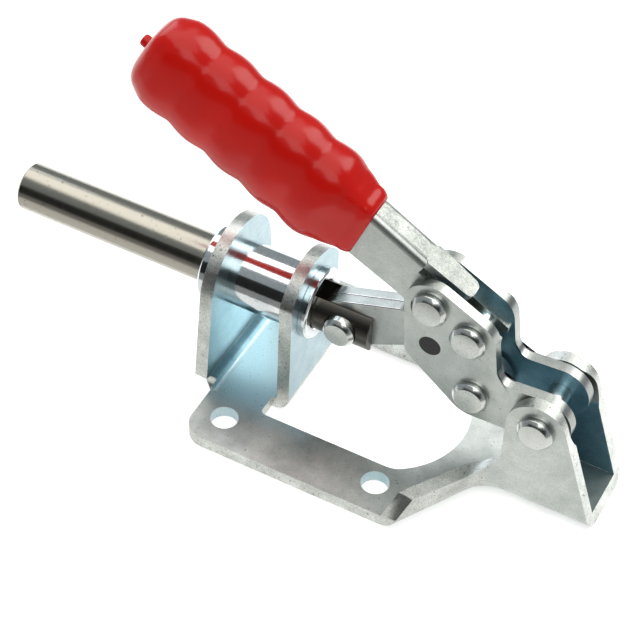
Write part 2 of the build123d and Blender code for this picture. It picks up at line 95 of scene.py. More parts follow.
# %% [markdown]
# ## Materials
# A material here is a small network of nodes: a shader, and patterns on Object
# coordinates that vary its colour, its roughness and its fine relief. One helper adds
# a node with its settings and links. Object coordinates are metres, so a pattern whose
# grain is so many millimetres has a scale of 1000 divided by that size. Colours are
# picked as a screen shows them, and one function turns them to the light they stand for.


# %% Material helpers
def linear(hex_colour):
    """Linear RGBA of an sRGB hex colour, by the sRGB curve."""
    parts = [int(hex_colour[i : i + 2], 16) / 255 for i in (0, 2, 4)]
    light = [p / 12.92 if p <= 0.04045 else ((p + 0.055) / 1.055) ** 2.4 for p in parts]
    return (*light, 1.0)


def per_mm(size):
    """Pattern scale for a grain of this size in millimetres."""
    return 1 / (size * MM)


def node(tree, kind, inputs=None, **settings):
    """Adds a node, sets its properties, and sets or links its inputs."""
    made = tree.nodes.new(kind)
    for name, value in settings.items():
        setattr(made, name, value)
    for name, value in (inputs or {}).items():
        if isinstance(value, bpy.types.NodeSocket):
            tree.links.new(value, made.inputs[name])
        else:
            made.inputs[name].default_value = value
    return made


def new_material(name):
    """An empty node material: its tree, and a shader already linked to the output."""
    material = bpy.data.materials.new(name)
    material.use_nodes = True
    tree = material.node_tree
    tree.nodes.clear()
    shader = node(tree, "ShaderNodeBsdfPrincipled")
    output = node(tree, "ShaderNodeOutputMaterial")
    tree.links.new(shader.outputs["BSDF"], output.inputs["Surface"])
    return material, tree, shader


print("a grain of 1 mm has a scale of", round(per_mm(1)))

# %% [markdown]
# ## Bright zinc plate
# The base, plates, arm and links are stamped from low-carbon steel sheet, tumbled and
# zinc plated with a blue passivation. Faces in the open are a neutral grey. Faces in
# holes and hollows, between the lugs, inside the channel and between the plates take
# bluer and darker copies of the same plate: painted shade, for the teal that this metal
# turns in shade. The eye sees a pale metal with a soft cloud, a very fine grain from
# the rolled sheet and a few dark specks. A plain grey metal would look like a toy, and
# a painted texture would need its own layout on every piece. Three noise patterns,
# each with a size in millimetres, need none, and one recipe serves every finish of the
# same plate. The real grain is about 0.1 mm; it is drawn at 0.3 mm so that it shows.

# %% Painted shade on the base's middle
SIDE_FADE, REAR_FADE = (13, 21), (-8, 2)  # mm, out along Y and back along X


def painted_shade_in_middle(tree, spot, tint, sheet):
    """This tint as a painted shade in the middle of the base, under the bush and the lugs, and
    the sheet's colour round it.
    """
    parts = node(tree, "ShaderNodeSeparateXYZ", {"Vector": spot}).outputs
    aside = node(tree, "ShaderNodeMath", {0: parts["Y"]}, operation="ABSOLUTE").outputs[0]
    fades = [
        node(
            tree,
            "ShaderNodeMapRange",
            {"Value": place, "From Min": start * MM, "From Max": end * MM},
            interpolation_type="SMOOTHSTEP",
        ).outputs["Result"]
        for place, (start, end) in ((aside, SIDE_FADE), (parts["X"], REAR_FADE))
    ]
    fade = node(
        tree, "ShaderNodeMath", {0: fades[0], 1: fades[1]}, operation="MAXIMUM"
    ).outputs[0]
    return node(
        tree,
        "ShaderNodeMix",
        {"Factor": fade, "A": linear(tint), "B": sheet},
        data_type="RGBA",
    ).outputs["Result"]


print("the middle's tint is gone", SIDE_FADE[1], "mm from the middle plane")


# %% Zinc plate
CLOUD_SIZE, SPECK_SIZE = 6, 0.7  # mm
CLOUD_FROM, CLOUD_TO = 0.3, 0.7  # noise values that are all tint and all shade
GRAIN_FROM, GRAIN_TO = 0.35, 0.65  # noise values of the darkest and brightest grain
BRIGHT_SHARE = 0.7  # bright grain differs less from the sheet than dark grain
SPECK_EDGE = 0.06  # how soon a speck reaches its full darkness
ROUGHNESS_SPREAD = 0.06  # how far the grain moves the roughness, each way
DIRT = "3c3c38"


def zinc_plate(
    name,
    tint,
    shade,
    roughness,
    grain=0.3,
    relief=0.01,
    speckle=0.5,
    speck_from=0.65,
    contrast=0.13,
    painted_shade_tint=None,
):
    """Zinc plate: a cloud between two tints, fine grain and small dark specks."""
    material, tree, shader = new_material(name)
    spot = node(tree, "ShaderNodeTexCoord").outputs["Object"]
    cloud, fine, dirt = [
        node(
            tree,
            "ShaderNodeTexNoise",
            {"Vector": spot, "Scale": per_mm(size), "Detail": detail, "Roughness": fall},
        ).outputs["Fac"]
        for size, detail, fall in ((CLOUD_SIZE, 5, 0.6), (grain, 3, 0.65), (SPECK_SIZE, 4, 0.6))
    ]
    specks = node(
        tree,
        "ShaderNodeMapRange",
        {
            "Value": dirt,
            "From Min": speck_from,
            "From Max": speck_from + SPECK_EDGE,
            "To Max": speckle,
        },
    ).outputs["Result"]
    clouded = node(
        tree,
        "ShaderNodeMapRange",
        {"Value": cloud, "From Min": CLOUD_FROM, "From Max": CLOUD_TO},
    ).outputs["Result"]
    sheet = node(
        tree,
        "ShaderNodeMix",
        {"Factor": clouded, "A": linear(tint), "B": linear(shade)},
        data_type="RGBA",
    ).outputs["Result"]
    # a blue painted shade under the bush and the lugs
    if painted_shade_tint:
        sheet = painted_shade_in_middle(tree, spot, painted_shade_tint, sheet)
    grained = node(
        tree,
        "ShaderNodeMapRange",
        {
            "Value": fine,
            "From Min": GRAIN_FROM,
            "From Max": GRAIN_TO,
            "To Min": 1 - contrast,
            "To Max": 1 + contrast * BRIGHT_SHARE,
        },
    ).outputs["Result"]
    shaded = node(
        tree, "ShaderNodeVectorMath", {0: sheet, 1: grained}, operation="MULTIPLY"
    ).outputs["Vector"]
    stained = node(
        tree,
        "ShaderNodeMix",
        {"Factor": specks, "A": shaded, "B": linear(DIRT)},
        data_type="RGBA",
    ).outputs["Result"]
    rough = node(
        tree,
        "ShaderNodeMapRange",
        {
            "Value": fine,
            "To Min": roughness - ROUGHNESS_SPREAD,
            "To Max": roughness + ROUGHNESS_SPREAD,
        },
    ).outputs["Result"]
    bump = node(tree, "ShaderNodeBump", {"Height": fine, "Distance": relief * MM})
    tree.links.new(stained, shader.inputs["Base Color"])
    tree.links.new(rough, shader.inputs["Roughness"])
    tree.links.new(bump.outputs["Normal"], shader.inputs["Normal"])
    shader.inputs["Metallic"].default_value = 1.0
    return material


# %% Zinc finishes
# neutral and pale, a soft blur for a reflection: the outside, where no painted shade is put
grey_zinc = zinc_plate("bright_zinc_outside", "cdd1ce", "b1b6b3", 0.36)
# the same, with a blue painted shade under the bush, between the lugs
base_zinc = zinc_plate(
    "zinc_on_top_of_base", "cbd0ce", "a3a9a7", 0.36, painted_shade_tint="b4cdd6", speckle=0.7
)
# a cool, clearer mirror: the blue passivation, and painted shade on hole walls and on the lugs'
# backs
blue_zinc_and_painted_shade = zinc_plate("blue_passivated_zinc_and_painted_shade", "b3c6cc", "96b0b8", 0.30)
# deeper blue and duller: painted shade inside the channel, between the plates and links, and on
# the lugs' bends
deep_zinc_painted_shade = zinc_plate("deep_blue_zinc_painted_shade", "98bfcd", "789fae", 0.45)
# dark and flat: painted shade on the channel's floor, between its walls
channel_floor_painted_shade_zinc = zinc_plate("zinc_with_painted_shade_on_channel_floor", "6c7776", "535d5c", 0.5)
# coarse bright and dark streaks where the die tore the sheet apart
torn_zinc = zinc_plate(
    "zinc_on_sheared_edge",
    "dcdedb",
    "b0b3ae",
    0.33,
    relief=0.06,
    speckle=0.7,
    speck_from=0.62,
    contrast=0.24,
)
# dull, scratched and spotted, from knocks on top of the arm
scuffed_zinc = zinc_plate(
    "scuffed_zinc_on_web",
    "b3b6b2",
    "858a86",
    0.33,
    grain=0.35,
    relief=0.08,
    speckle=0.6,
    speck_from=0.61,
    contrast=0.3,
)
# a narrow grey line round the plates, a little darker than their faces
rim_zinc = zinc_plate("zinc_on_plate_rim", "a8aba8", "8c908d", 0.3, contrast=0.16)
# the thin bright line that a tumbled edge gives
rolled_zinc = zinc_plate("zinc_on_rolled_edge", "e3e5e3", "cfd2d0", 0.16, relief=0.004)
# an even, bright face from the rivet's header
rivet_zinc = zinc_plate("bright_zinc_on_rivet_face", "dcdedb", "c6c9c5", 0.36, relief=0.006)
# a brighter ring that catches the light all round
chamfer_zinc = zinc_plate("bright_zinc_on_rivet_chamfer", "dfe1de", "c6c9c6", 0.2, relief=0.004)
# almost a mirror, with clear bands along the tube
bush_zinc = zinc_plate("polished_zinc_on_turned_bush", "e2e5e6", "d0d5d7", 0.12, relief=0.003)
print("materials so far:", len(bpy.data.materials))

# %% [markdown]
# ## Ground steel
# The plunger is a bare bar, ground between centres. It shows as a clear mirror with
# soft bands along its length, very fine rings round it, and tiny pits and rust specks.
# Its slotted end is painted dark: painted shade, and a painted reflection of the shaded
# underside of the grip and arm above it. The shader's own anisotropy could draw the
# bands out, but it needs a layout; a noise that is squeezed along X gives the rings on
# any bar that lies along X.


# %% Ground steel
# grinding rings are a few hundredths apart; drawn 0.25 mm apart so that they show
RING_SPACING, RING_ARC, RING_DEPTH = 0.25, 8, 0.0015  # mm
PIT_SIZE = 0.6  # mm
PIT_FROM, PIT_TO, PIT_RUST = 0.66, 0.72, 0.8  # noise values, and the rust in a pit
RUST = "4b3c30"


def bare_steel(name, tint, roughness):
    """Bare steel turned or ground about X: fine rings, tiny pits and rust specks."""
    material, tree, shader = new_material(name)
    spot = node(tree, "ShaderNodeTexCoord").outputs["Object"]
    scale = (per_mm(RING_SPACING), per_mm(RING_ARC), per_mm(RING_ARC))
    squeezed = node(tree, "ShaderNodeMapping", {"Vector": spot, "Scale": scale}).outputs["Vector"]
    rings = node(
        tree, "ShaderNodeTexNoise", {"Vector": squeezed, "Scale": 1.0, "Detail": 2.0}
    ).outputs["Fac"]
    pits = node(
        tree, "ShaderNodeTexNoise", {"Vector": spot, "Scale": per_mm(PIT_SIZE), "Detail": 4.0}
    ).outputs["Fac"]
    rust = node(
        tree,
        "ShaderNodeMapRange",
        {"Value": pits, "From Min": PIT_FROM, "From Max": PIT_TO, "To Max": PIT_RUST},
    ).outputs["Result"]
    stained = node(
        tree,
        "ShaderNodeMix",
        {"Factor": rust, "A": linear(tint), "B": linear(RUST)},
        data_type="RGBA",
    ).outputs["Result"]
    rough = node(
        tree,
        "ShaderNodeMapRange",
        {
            "Value": rings,
            "To Min": roughness - ROUGHNESS_SPREAD,
            "To Max": roughness + ROUGHNESS_SPREAD,
        },
    ).outputs["Result"]
    bump = node(tree, "ShaderNodeBump", {"Height": rings, "Distance": RING_DEPTH * MM})
    tree.links.new(stained, shader.inputs["Base Color"])
    tree.links.new(rough, shader.inputs["Roughness"])
    tree.links.new(bump.outputs["Normal"], shader.inputs["Normal"])
    shader.inputs["Metallic"].default_value = 1.0
    return material


# warm grey, with a clear long highlight
ground_steel = bare_steel("ground_bare_steel", "a29e94", 0.22)
# brown-grey and half as bright: painted shade, and a painted reflection of the shaded grip
clevis_steel_painted_shade = bare_steel("clevis_steel_with_painted_shade", "56544f", 0.34)
print("materials so far:", len(bpy.data.materials))

# %% [markdown]
# ## Dipped vinyl and rubber
# The grip is PVC plastisol: the hot arm is dipped in it, and it sets glossy and a
# little uneven. The stop between the plates is matt black rubber. Both have one colour
# all through, so two close tints and a low relief are enough; a clear coat over the
# red would double its highlights.

# %% Vinyl
TINT_SIZE, RIPPLE_SIZE, RIPPLE_DEPTH = 12, 4, 0.06  # mm
GLOSS_FROM, GLOSS_TO = 0.17, 0.24  # roughness
VINYL_IOR, VINYL_SPECULAR = 1.53, 0.22

# a deep, wet-looking red, whose broad highlights waver with the dip's ripples
red_vinyl, tree, shader = new_material("dipped_red_vinyl")
spot = node(tree, "ShaderNodeTexCoord").outputs["Object"]
cloud = node(
    tree, "ShaderNodeTexNoise", {"Vector": spot, "Scale": per_mm(TINT_SIZE), "Detail": 2.0}
).outputs["Fac"]
ripple = node(
    tree, "ShaderNodeTexNoise", {"Vector": spot, "Scale": per_mm(RIPPLE_SIZE), "Detail": 1.0}
).outputs["Fac"]
red_mix = node(
    tree,
    "ShaderNodeMix",
    {"Factor": cloud, "A": linear("b81109"), "B": linear("9e0c05")},
    data_type="RGBA",
).outputs["Result"]
gloss = node(
    tree, "ShaderNodeMapRange", {"Value": cloud, "To Min": GLOSS_FROM, "To Max": GLOSS_TO}
).outputs["Result"]
skin = node(
    tree,
    "ShaderNodeBump",
    {"Height": ripple, "Distance": RIPPLE_DEPTH * MM, "Strength": 0.5},
)
tree.links.new(red_mix, shader.inputs["Base Color"])
tree.links.new(skin.outputs["Normal"], shader.inputs["Normal"])
tree.links.new(gloss, shader.inputs["Roughness"])
shader.inputs["IOR"].default_value = VINYL_IOR
shader.inputs["Specular IOR Level"].default_value = VINYL_SPECULAR
print("made", red_vinyl.name)

# %% Rubber
PEBBLE_SIZE = 0.4  # mm
RUBBER_ROUGHNESS = 0.62

# near black and dry, with a fine mottle and no highlight
black_rubber, tree, shader = new_material("matt_black_rubber")
spot = node(tree, "ShaderNodeTexCoord").outputs["Object"]
pebble = node(
    tree, "ShaderNodeTexNoise", {"Vector": spot, "Scale": per_mm(PEBBLE_SIZE), "Detail": 2.0}
).outputs["Fac"]
soot = node(
    tree,
    "ShaderNodeMix",
    {"Factor": pebble, "A": linear("151515"), "B": linear("2e2f2e")},
    data_type="RGBA",
).outputs["Result"]
tree.links.new(soot, shader.inputs["Base Color"])
shader.inputs["Roughness"].default_value = RUBBER_ROUGHNESS
print("made", black_rubber.name)

# %% [markdown]
# ## From a mesh to a shown piece
# Each piece that is made here takes the place of one piece of the model, and moves with
# the same body. One helper does that for all of them, so that none is forgotten. It
# shades the piece smooth between its sharp edges, and a weighted normal keeps the large
# faces flat where they meet a narrow roll. Shading it all flat would show the facets of
# every round.

# %% Shown piece
SHARP = 50  # degrees, an edge that turns more than this is a corner


def finish_mesh(name, bm, body, materials, replaced):
    """Makes the shown piece of a bmesh, and says what it rides on and stands for."""
    for face in bm.faces:
        face.smooth = True
    for edge in bm.edges:
        edge.smooth = edge.is_manifold and edge.calc_face_angle(0) < math.radians(SHARP)
    mesh = bpy.data.meshes.new(name)
    bm.to_mesh(mesh)
    bm.free()
    for material in materials:
        mesh.materials.append(material)
    piece = bpy.data.objects.new(name, mesh)
    scene.collection.objects.link(piece)
    flat = piece.modifiers.new("flat_faces_stay_flat", "WEIGHTED_NORMAL")
    flat.keep_sharp = True
    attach(piece, body)
    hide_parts(replaced)
    print(name, len(mesh.polygons), "faces")
    return piece


# %% Rolled edges
def bevelled(bm, edges, width, segments=2):
    """Rounds these edges by this width in millimetres, and gives the new faces."""
    made = bmesh.ops.bevel(
        bm,
        geom=edges,
        offset=width * MM,
        offset_type="OFFSET",
        affect="EDGES",
        segments=segments,
        profile=0.5,
        material=-1,
        clamp_overlap=True,
    )
    return made["faces"]


def sharper_than(bm, angle):
    """The edges whose faces meet at more than this many degrees."""
    limit = math.radians(angle)
    return [e for e in bm.edges if e.is_manifold and e.calc_face_angle() > limit]


print("a corner turns more than", SHARP, "degrees")

# %% [markdown]
# ## Working copies of the stamped pieces
# The stamped pieces could be drawn again and given their thickness, but the model has
# every hole and fold in place already. It comes as loose triangles, so a copy has its
# doubles merged and its flat facets dissolved. Then it can take a bevel, which gives
# each stamped edge the thin bright roll that catches the light. Faces cut by the die
# get the torn finish.

# %% Working copies
DOUBLES = 0.002  # mm, vertices closer than this are one
FLATNESS = 0.4  # degrees, facets that turn less than this are one face
ON_PLANE = 0.001  # mm


def working_copy(source):
    """A merged copy of a model piece as a bmesh, with its flat facets joined."""
    bm = bmesh.new()
    bm.from_mesh(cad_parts[source].data)
    bmesh.ops.remove_doubles(bm, verts=bm.verts, dist=DOUBLES * MM)
    bmesh.ops.dissolve_limit(
        bm, angle_limit=math.radians(FLATNESS), verts=bm.verts, edges=bm.edges
    )
    return bm


def split(bm, x):
    """Cuts the faces along a plane square to X, so that each side can differ."""
    bmesh.ops.bisect_plane(
        bm,
        geom=bm.verts[:] + bm.edges[:] + bm.faces[:],
        dist=ON_PLANE * MM,
        plane_co=(x * MM, 0, 0),
        plane_no=(1, 0, 0),
    )


print("facets under", FLATNESS, "degrees are joined")

# %% Finishes of a stamped piece
# the blue, the deeper blue and the channel floor finishes are wholly or partly painted shade
OUTSIDE, CUT, ROLLED, BLUE_AND_SHADE, DEEP_SHADE, TOP, FLOOR, RIM, SCUFFED = range(9)
finishes = [
    grey_zinc,
    torn_zinc,
    rolled_zinc,
    blue_zinc_and_painted_shade,
    deep_zinc_painted_shade,
    base_zinc,
    channel_floor_painted_shade_zinc,
    rim_zinc,
    scuffed_zinc,
]
# how much of a face's normal lies along an axis: when it looks that way, when it leans
# that way, and when it only turns a little to it
SQUARE, LEANING, SLIGHT = 0.9, 0.5, 0.3


def stamped(source, body, zone, edge_roll=0.25, round_off=None, split_at=None):
    """A stamped piece with rolled edges; zone says which finish each face takes."""
    bm = working_copy(source)
    if split_at:
        split(bm, split_at)
    if round_off:
        round_off(bm)
    rolled = set(bevelled(bm, sharper_than(bm, SHARP), edge_roll))
    for face in bm.faces:
        place = face.calc_center_median() / MM
        face.material_index = ROLLED if face in rolled else zone(face.normal, place)
    return finish_mesh(source + "_sheet", bm, body, finishes, source)


print("finishes of a stamped piece:", len(finishes))

# %% [markdown]
# ## The stamped base
# One blank gives the flange that is bolted down, two lugs folded up for the bush, and
# the channel with its ears. The cut faces are the strip's outline, the lugs' rims, the
# flange tops and the ends of the channel. Picking faces by hand breaks when the model
# changes, so a rule sorts them by where they are and where they look.

# %% Base
AXIS_HEIGHT = 26.0  # mm, the plunger's axis above the bench
SHEET = 3.0
LUG_REAR = -7.5  # mm, the lugs stand in front of this
EYE_RADIUS = 7.5  # mm, the holes of the lugs
FLANGE_FRONT, EAR_INSIDE, CHANNEL_FROM = 23.0, 6.4, 48.0
BOLT_HOLE, HOLE_REACH = Vector((18.6, 21.5)), 3.6  # mm, one of the four
NEAR, BASE_ROLL = 0.5, 0.3  # mm
BEND_LOOK, FLANGE_LOOK = 0.2, 0.45  # how far a lug's bend and a flange's top look up


def base_zone(normal, middle):
    """Finish of one face of the base, from where it looks and where it is."""
    # the lugs' backs and the walls of their eyes and of the bolt holes take the blue finish,
    # partly as painted shade
    if middle.x < LUG_REAR and middle.z > 2 * SHEET:
        in_eye = abs((middle.yz - Vector((0, AXIS_HEIGHT))).length - EYE_RADIUS) < NEAR
        if abs(normal.x) < LEANING:
            return BLUE_AND_SHADE if in_eye else CUT
        return BLUE_AND_SHADE if normal.x > 0 else OUTSIDE
    in_hole = (Vector((abs(middle.x), abs(middle.y))) - BOLT_HOLE).length < HOLE_REACH
    if in_hole and abs(normal.z) < LEANING:
        return BLUE_AND_SHADE
    # in the channel, the floor and the faces that look inwards take painted shade
    if middle.x > FLANGE_FRONT and abs(middle.y) < EAR_INSIDE:
        if normal.z > SQUARE and middle.x > CHANNEL_FROM:
            return FLOOR
        inwards = normal.y * middle.y < 0 or normal.z > SLIGHT
        if abs(normal.x) > SQUARE:
            return CUT
        return DEEP_SHADE if inwards else OUTSIDE
    if middle.z < SHEET + NEAR and normal.z > SQUARE:
        return TOP
    # the lugs' bends take the deeper blue, as painted shade that also dims their highlight
    if normal.x > BEND_LOOK and normal.z > BEND_LOOK and middle.x < 0:
        return DEEP_SHADE  # the lugs' bends
    if middle.x < FLANGE_FRONT or middle.z < SHEET:
        return CUT if abs(normal.z) < SLIGHT else OUTSIDE
    return CUT if abs(normal.x) > LEANING or normal.z > FLANGE_LOOK else OUTSIDE


stamped("frame", "frame", base_zone, edge_roll=BASE_ROLL, split_at=CHANNEL_FROM)

# %% [markdown]
# ## Plates, arm and links
# The side plates lie square to Y, so a cut face is one whose normal has little Y in it.
# The arm is a folded channel: its cut faces point down, back or along its slope. The
# plates' throat in front of the pivot is a soft curve on the real clamp, so its inner
# corner is rounded before the edges are rolled; a bevel on the whole outline would
# soften the corners that are crisp.

# %% The plates' throat
THROAT_X, THROAT_Z, THROAT_RADIUS = 38.0, 30.0, 3.5  # mm
THROAT_REACH, THROAT_BEND = 2, 20  # mm from that point, and degrees
ACROSS = 1  # mm, an edge across the plate is longer than this in Y


def soften_throat(bm):
    """Rounds the edges that run across a plate at its throat."""
    point = Vector((THROAT_X, THROAT_Z)) * MM
    throat = [
        e
        for e in bm.edges
        if abs(e.verts[0].co.y - e.verts[1].co.y) > ACROSS * MM
        and ((e.verts[0].co.xz + e.verts[1].co.xz) / 2 - point).length < THROAT_REACH * MM
        and e.calc_face_angle(0) > math.radians(THROAT_BEND)
    ]
    bevelled(bm, throat, THROAT_RADIUS, segments=8)
    print("throat corners rounded:", len(throat))


# %% Plates, links and arm
ARM_ROLL = 0.2  # mm
WEB_LOOK, WALL_LOOK = 0.6, 0.4  # how far the arm's web looks up, and its walls aside


def plate_zone(normal, middle):
    """Finish of a flat plate that lies square to Y: its rim is cut."""
    if abs(normal.y) < LEANING:
        return RIM
    # faces that look inwards, between the plates or between the links, take the deeper blue as
    # painted shade
    return DEEP_SHADE if normal.y * middle.y < 0 else OUTSIDE


def arm_zone(normal, middle):
    """Finish of the folded arm: cut rims below, and a scuffed web on top."""
    if abs(normal.z) > WEB_LOOK and abs(normal.y) < WALL_LOOK:
        return SCUFFED if normal.z > 0 else CUT
    return OUTSIDE


for name in ("side_plate_near", "side_plate_far"):
    stamped(name, "handle", plate_zone, round_off=soften_throat)
for name in ("link_near", "link_far"):
    stamped(name, "link", plate_zone)
stamped("handle_arm", "handle", arm_zone, edge_roll=ARM_ROLL)

# %% [markdown]
# ## Rivets
# The near head of a rivet is flat with a wide chamfer, and the far end is peened to a
# low dome. Stacked cylinders and cones would leave seams between them. A rivet is a
# turned piece, so its outline is drawn once and spun a full turn. After the spin its
# doubles are merged, its normals are turned out and its rims are rolled.

# %% Turned pieces
RIM_BEND = 25  # degrees, a turned edge that bends more than this is rolled
SEAM = 0.001  # mm


def spun(outline, centre, axis, steps=64):
    """A bmesh of this outline, spun a full turn about an axis through centre."""
    bm = bmesh.new()
    verts = [bm.verts.new(p) for p in outline]
    edges = [bm.edges.new(pair) for pair in zip(verts, verts[1:])]
    bmesh.ops.spin(
        bm,
        geom=verts + edges,
        cent=centre,
        axis=axis,
        angle=math.tau,
        steps=steps,
        use_merge=True,
    )
    bmesh.ops.remove_doubles(bm, verts=bm.verts, dist=SEAM * MM)
    bmesh.ops.recalc_face_normals(bm, faces=bm.faces)
    return bm


print("a turned edge is rolled from", RIM_BEND, "degrees")

# %% Rivets
HEAD, HEAD_HEIGHT, HEAD_CHAMFER = 8.2, 2.0, 0.9  # mm, heads are diameters
PEENED, PEENED_HEIGHT, SHANK = 7.4, 1.5, 5.0
DOME = ((0, 0.35), (0.3, 0.75), (0.9, 1))  # mm in from its rim, share of its height
PIN_HEAD, PIN_HEAD_HEIGHT = 7.5, 2.4
PLATE_FACE, EAR_FACE, PIN_SEAT = 6.0, 9.1, 4.6  # mm, what a head sits on
RIVET_ROLL = 0.08


def middle_of(source):
    """Centre of a model piece's box, in millimetres."""
    low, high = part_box(source)
    return (low + high) / 2 / MM


def rivet(source, body, seat, head=HEAD, height=HEAD_HEIGHT):
    """A chamfered rivet along Y, with both heads seated this far from the middle."""
    middle = middle_of(source)
    profile = (
        (0, -seat - height),
        (head / 2 - HEAD_CHAMFER, -seat - height),
        (head / 2, -seat - height + HEAD_CHAMFER),
        (head / 2, -seat),
        (SHANK / 2, -seat),
        (SHANK / 2, seat),
        (PEENED / 2, seat),
        *((PEENED / 2 - inset, seat + PEENED_HEIGHT * share) for inset, share in DOME),
        (0, seat + PEENED_HEIGHT),
    )
    outline = [Vector((middle.x + r, y, middle.z)) * MM for r, y in profile]
    centre = Vector((middle.x, 0, middle.z)) * MM
    bm = spun(outline, centre, (0, 1, 0))
    for face in bm.faces:
        face.material_index = 0 if abs(face.normal.y) > SQUARE else 1
    bevelled(bm, sharper_than(bm, RIM_BEND), RIVET_ROLL)
    turned = [rivet_zinc, chamfer_zinc]
    finish_mesh(source + "_turned", bm, body, turned, source)


for name in ("front_rivet", "rear_rivet", "link_rivet"):
    rivet(name, "handle", PLATE_FACE)
rivet("pivot_rivet", "frame", EAR_FACE)
rivet("plunger_pin", "plunger", PIN_SEAT, PIN_HEAD, PIN_HEAD_HEIGHT)

# %% [markdown]
# ## Guide bush
# The bush is turned from bar and polished: a tube between two collars that hold the
# lugs. The model's own bush has flat facets, which a mirror finish would show, so it is
# spun again about the plunger's axis, in finer steps.

# %% Guide bush
FRONT_SEAT, REAR_SEAT = -29.5, -8.3  # mm along X
BORE, TUBE, FRONT_RIM, REAR_RIM = 5.6, 7.5, 8.5, 8.3  # mm, radii
MOUTH, BUSH_ROLL, BUSH_STEPS = 0.5, 0.1, 96
bush_low, bush_high = (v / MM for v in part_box("guide_bush"))
profile = (
    (bush_low.x, BORE),
    (bush_low.x, FRONT_RIM - MOUTH),
    (bush_low.x + MOUTH, FRONT_RIM),
    (FRONT_SEAT, FRONT_RIM),
    (FRONT_SEAT, TUBE),
    (REAR_SEAT, TUBE),
    (REAR_SEAT, REAR_RIM),
    (bush_high.x - MOUTH, REAR_RIM),
    (bush_high.x, REAR_RIM - MOUTH),
    (bush_high.x, BORE + MOUTH),
    (bush_high.x - MOUTH, BORE),
    (bush_low.x, BORE),
)
outline = [Vector((x, 0, AXIS_HEIGHT + r)) * MM for x, r in profile]
bm = spun(outline, Vector((0, 0, AXIS_HEIGHT)) * MM, (1, 0, 0), BUSH_STEPS)
bevelled(bm, sharper_than(bm, RIM_BEND), BUSH_ROLL)
finish_mesh("guide_bush_turned", bm, "frame", [bush_zinc], "guide_bush")

# %% [markdown]
# ## Plunger
# The plunger is a round bar whose rear end is milled to a clevis for the links. Turning
# it again would lose that slot, so it keeps the shape of the model and gets its edges
# rolled. Its faces are split where the bush hides the line between its two finishes.

# %% Plunger
SLOTTED_FROM = -9.0  # mm, hidden in the bush
PLUNGER_BEND, PLUNGER_ROLL = 40, 0.2  # degrees, mm
bm = working_copy("plunger")
split(bm, SLOTTED_FROM)
bevelled(bm, sharper_than(bm, PLUNGER_BEND), PLUNGER_ROLL)
# the slotted end takes the dark steel, as painted shade
for face in bm.faces:
    face.material_index = 1 if face.calc_center_median().x > SLOTTED_FROM * MM else 0
steels = [ground_steel, clevis_steel_painted_shade]
finish_mesh("plunger_bar", bm, "plunger", steels, "plunger")

# %% [markdown]
# ## Dipped grip
# The grip is a thick skin of vinyl on the arm, with a lip at its open end, broad bulges
# for the fingers and a small drip on its closed end, where the last of the dip set. A
# subdivided box would give it soft ends but no even bulges. It starts as a plain tube
# instead, and cuts round it give rings. Each ring is then drawn out to the grip's
# section at that distance from the open end, which follows the arm.

# %% Grip sizes
GRIP_START = Vector((2.9, 0, 53.42))  # mm, centre line at the open end
GRIP_SLOPE, MOUTH_TILT = math.radians(27.9), math.radians(6.5)
ALONG = Vector((-math.cos(GRIP_SLOPE), 0, math.sin(GRIP_SLOPE)))
GRIP_LENGTH, SWELL_LENGTH, TIP_LENGTH = 58.3, 12.0, 6.5
ARM_DEPTH, ARM_WIDTH, WALL, MOUTH_RISE = 13.3, 7.0, 0.7, 0.95
FULL_DEPTH, FULL_WIDTH = 22.0, 15.0
SQUARENESS, MOUTH_SQUARENESS = 2.7, 5.7  # power of the section's outline, 2 is an ellipse
WAVE_PITCH, WAVE_HEIGHT = 9.6, 0.7
VALLEY = 0.06  # how soft the valley between two bulges is, 0 is a crease
TIP_POWER, TIP_SHARE = 2.3, 0.7  # how square the closed end is, and how much it narrows
LIP, LIP_AT = 0.3, 1.7
EDGE, EDGE_LENGTH = 0.35, 0.6  # the lip's own rounded edge
print("grip", GRIP_LENGTH, "mm long, from", [round(v, 2) for v in GRIP_START])


# %% Section of the grip
def swelling(distance):
    """From 0 at the mouth to 1 where the grip has its full section."""
    share = min(1, max(0, distance / SWELL_LENGTH))
    return share * share * (3 - 2 * share)


def half_section(distance):
    """Half depth and half width of the grip at this distance, in millimetres."""
    swell = swelling(distance)
    # broad bulges with narrow valleys between them
    turn = math.cos(math.pi * (distance - SWELL_LENGTH) / WAVE_PITCH)
    wave = 2 * math.sqrt(turn * turn + VALLEY) - 1
    into_tip = max(0, distance - (GRIP_LENGTH - TIP_LENGTH)) / TIP_LENGTH
    kept = 1 - TIP_SHARE * (1 - max(0, 1 - into_tip**TIP_POWER) ** (1 / TIP_POWER))
    edge = EDGE * max(0, 1 - distance / EDGE_LENGTH)
    lip = LIP * math.exp(-((distance - LIP_AT) ** 2)) - edge
    extra = WAVE_HEIGHT / 2 * swell * wave + lip
    depth = (ARM_DEPTH / 2 + WALL) * (1 - swell) + FULL_DEPTH / 2 * swell + extra
    width = (ARM_WIDTH / 2 + WALL) * (1 - swell) + FULL_WIDTH / 2 * swell + extra
    return depth * kept, width * kept


def on_grip(distance, angle):
    """Point of the grip's skin, this far along it and this far round it."""
    depth, width = half_section(distance)
    still_arm = 1 - swelling(distance)
    power = SQUARENESS + (MOUTH_SQUARENESS - SQUARENESS) * still_arm
    across, over = math.sin(angle), math.cos(angle)
    reach = (abs(over / depth) ** power + abs(across / width) ** power) ** (-1 / power)
    lean = GRIP_SLOPE - MOUTH_TILT * still_arm
    rise = Vector((math.sin(lean), 0, math.cos(lean)))
    height = reach * over + MOUTH_RISE * still_arm
    return (GRIP_START + ALONG * distance + rise * height + Vector((0, reach * across, 0))) * MM


for distance in (0, SWELL_LENGTH, GRIP_LENGTH):
    print("half section at", distance, "mm:", [round(v, 1) for v in half_section(distance)])

